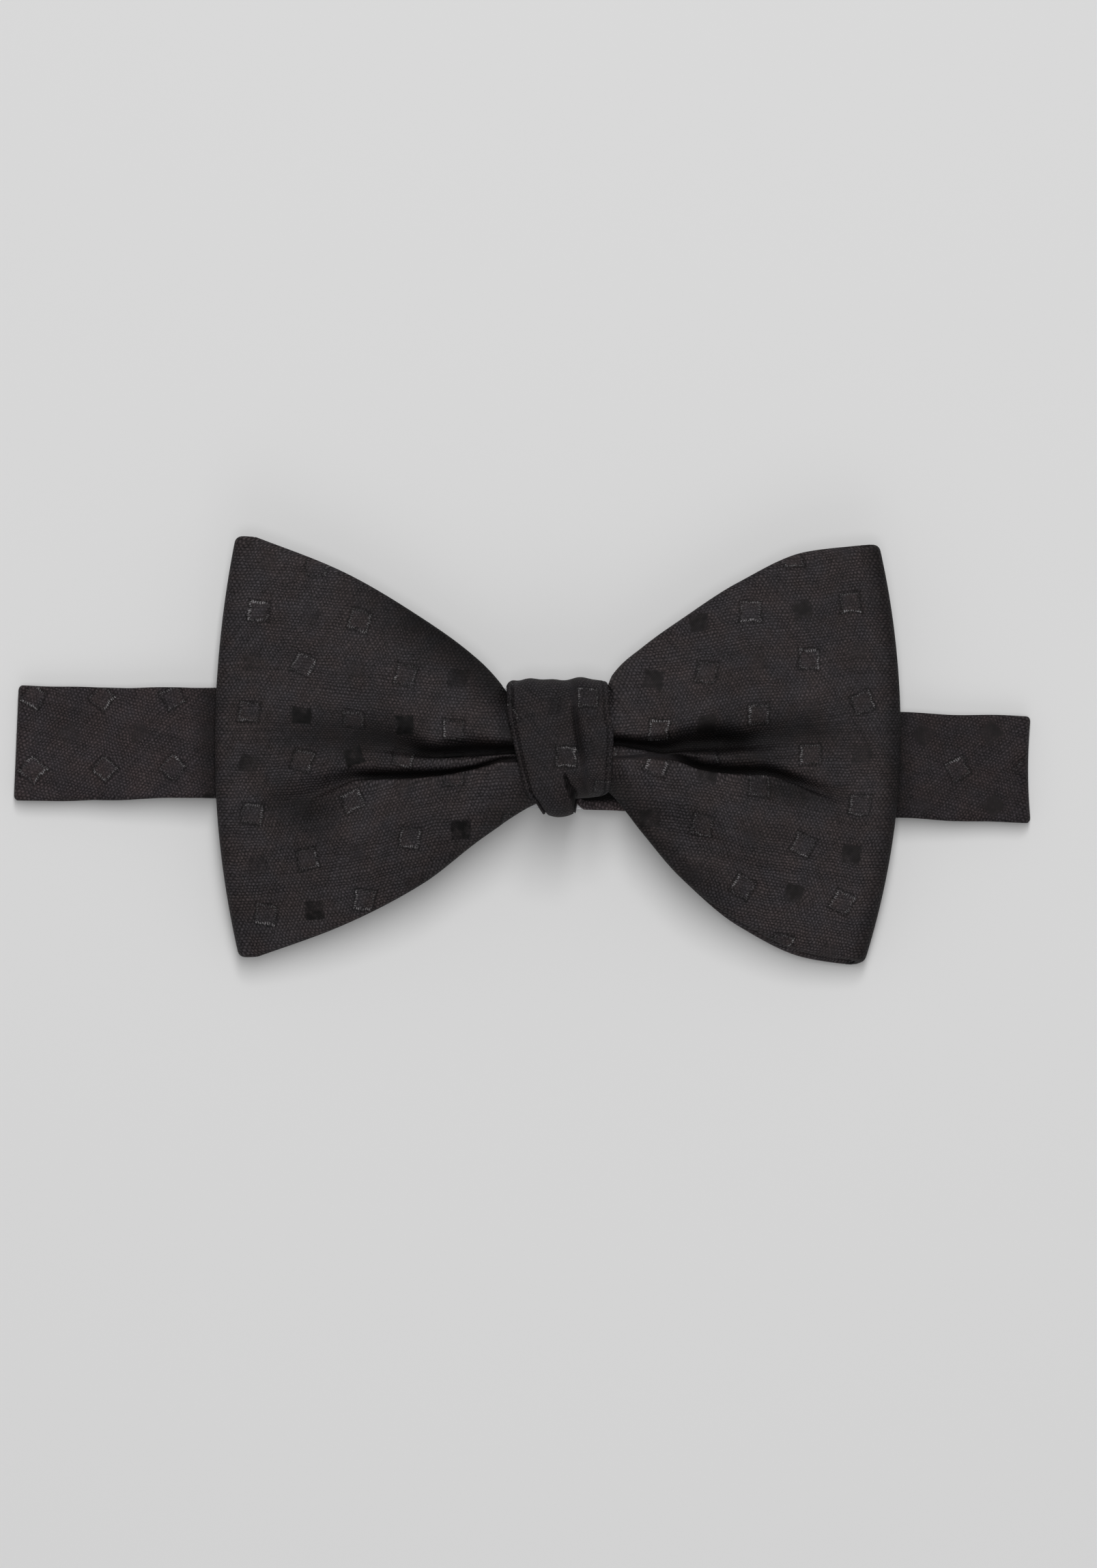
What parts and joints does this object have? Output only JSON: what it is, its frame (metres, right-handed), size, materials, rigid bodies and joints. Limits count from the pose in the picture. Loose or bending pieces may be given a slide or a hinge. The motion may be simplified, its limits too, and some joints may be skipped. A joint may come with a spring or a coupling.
{
  "type": "pre-tied bow tie",
  "caption": "Pre-tied bow tie of dark patterned cloth: two looped wings gathered by a wrapped knot, on an adjustable neck band folded flat behind them.",
  "frame": {"origin": "on the surface that the tie lies on, under the middle of its box", "axes": "+X along the neck band towards the wing at the right of the picture, +Y up the bow as it is worn, +Z away from the neck, up from the surface"},
  "size_m": [0.1794, 0.0757, 0.0228],
  "materials": {
    "wing_cloth": "charcoal basket weave with small woven squares, some outlined in a lighter thread and some filled in dark satin",
    "knot_cloth": "the wings' cloth, wrapped and pleated",
    "band_cloth": "the wings' cloth, cut on the bias and pressed flat",
    "clasp_metal": "dark satin metal"
  },
  "bodies": {
    "root": {"left_wing": "wing_cloth", "right_wing": "wing_cloth", "knot": "knot_cloth", "neck_band": "band_cloth", "band_clasp": "clasp_metal"}
  },
  "joints": []
}
